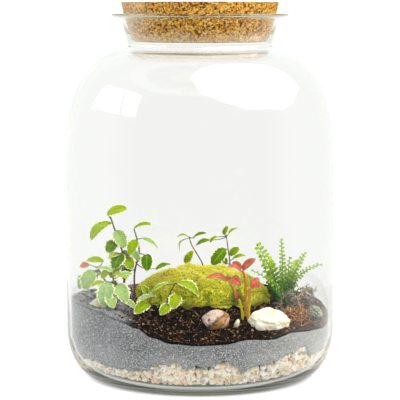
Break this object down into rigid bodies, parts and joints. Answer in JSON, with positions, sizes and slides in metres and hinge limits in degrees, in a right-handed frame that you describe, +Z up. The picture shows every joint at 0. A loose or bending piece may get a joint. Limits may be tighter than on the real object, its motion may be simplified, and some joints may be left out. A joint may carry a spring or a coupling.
{
  "type": "glass plant terrarium",
  "caption": "Round-shouldered clear glass jar with a tapered cork lid, planted inside with creeping fig, fern, a red-leaved plant and moss over soil, grit and gravel.",
  "frame": {"origin": "on the surface it stands on, under the middle of the jar's base", "axes": "+Z up through the cork lid, -Y towards the front of the planting, +X to its right"},
  "size_m": [0.28, 0.28, 0.39],
  "materials": {
    "clear_glass": "clear, colourless, polished, faintly green where it is thick",
    "cork": "pressed cork granules, tan with dark brown specks, matte",
    "gravel": "small rounded drainage gravel, cream, white, pinkish tan and grey",
    "grit": "fine grey grit with pale specks, matte",
    "potting_soil": "dark crumbly potting soil, nearly black, matte",
    "moss": "yellow-green cushion moss, fine and springy",
    "banded_stone": "water-worn pebble, pinkish white with olive, orange and brown bands",
    "pale_stone": "cream-white quartz stone, slightly pitted",
    "fig_leaf": "variegated creeping-fig leaves, green with cream margins, satin",
    "red_leaf": "red-pink leaves with green edges on yellow-green to orange stems, satin",
    "fern_leaf": "small button-fern leaflets, light green tips, bluish-green centre",
    "bark_fibre": "reddish-brown bark fibre, matted",
    "lichen": "grey-green lichen, crisp and dry",
    "root_wood": "dead grey-brown rootlets, dry"
  },
  "bodies": {
    "root": {"glass_jar": "clear_glass", "cork_lid": "cork", "gravel_layer": "gravel", "grit_layer": "grit", "banded_pebble": "banded_stone", "white_stone": "pale_stone", "white_chip": "pale_stone", "cream_stone": "pale_stone", "moss_cushion": "moss", "left_fig_main_stem": "fig_leaf", "left_fig_right_branch": "fig_leaf", "left_fig_low_spray": "fig_leaf", "left_fig_front_spray": "fig_leaf", "front_fig_spray": "fig_leaf", "front_fig_low_spray": "fig_leaf", "back_fig_stem": "fig_leaf", "back_fig_tall_stem": "fig_leaf", "back_fig_sprout": "fig_leaf", "red_plant_left_stem": "red_leaf", "red_plant_middle_stem": "red_leaf", "red_plant_right_stem": "red_leaf", "fern_frond_1": "fern_leaf", "fern_frond_2": "fern_leaf", "fern_frond_3": "fern_leaf", "fern_frond_4": "fern_leaf", "fern_frond_5": "fern_leaf", "fern_frond_6": "fern_leaf", "fern_frond_7": "fern_leaf", "fern_frond_8": "fern_leaf", "fern_frond_9": "fern_leaf", "fern_frond_10": "fern_leaf", "fern_frond_11": "fern_leaf", "fern_frond_12": "fern_leaf", "fern_frond_13": "fern_leaf", "bark_mat": "bark_fibre", "lichen_tuft": "lichen", "dead_root_1": "root_wood", "dead_root_2": "root_wood", "dead_root_3": "root_wood", "dead_root_4": "root_wood", "potting_soil": "potting_soil"}
  },
  "joints": []
}
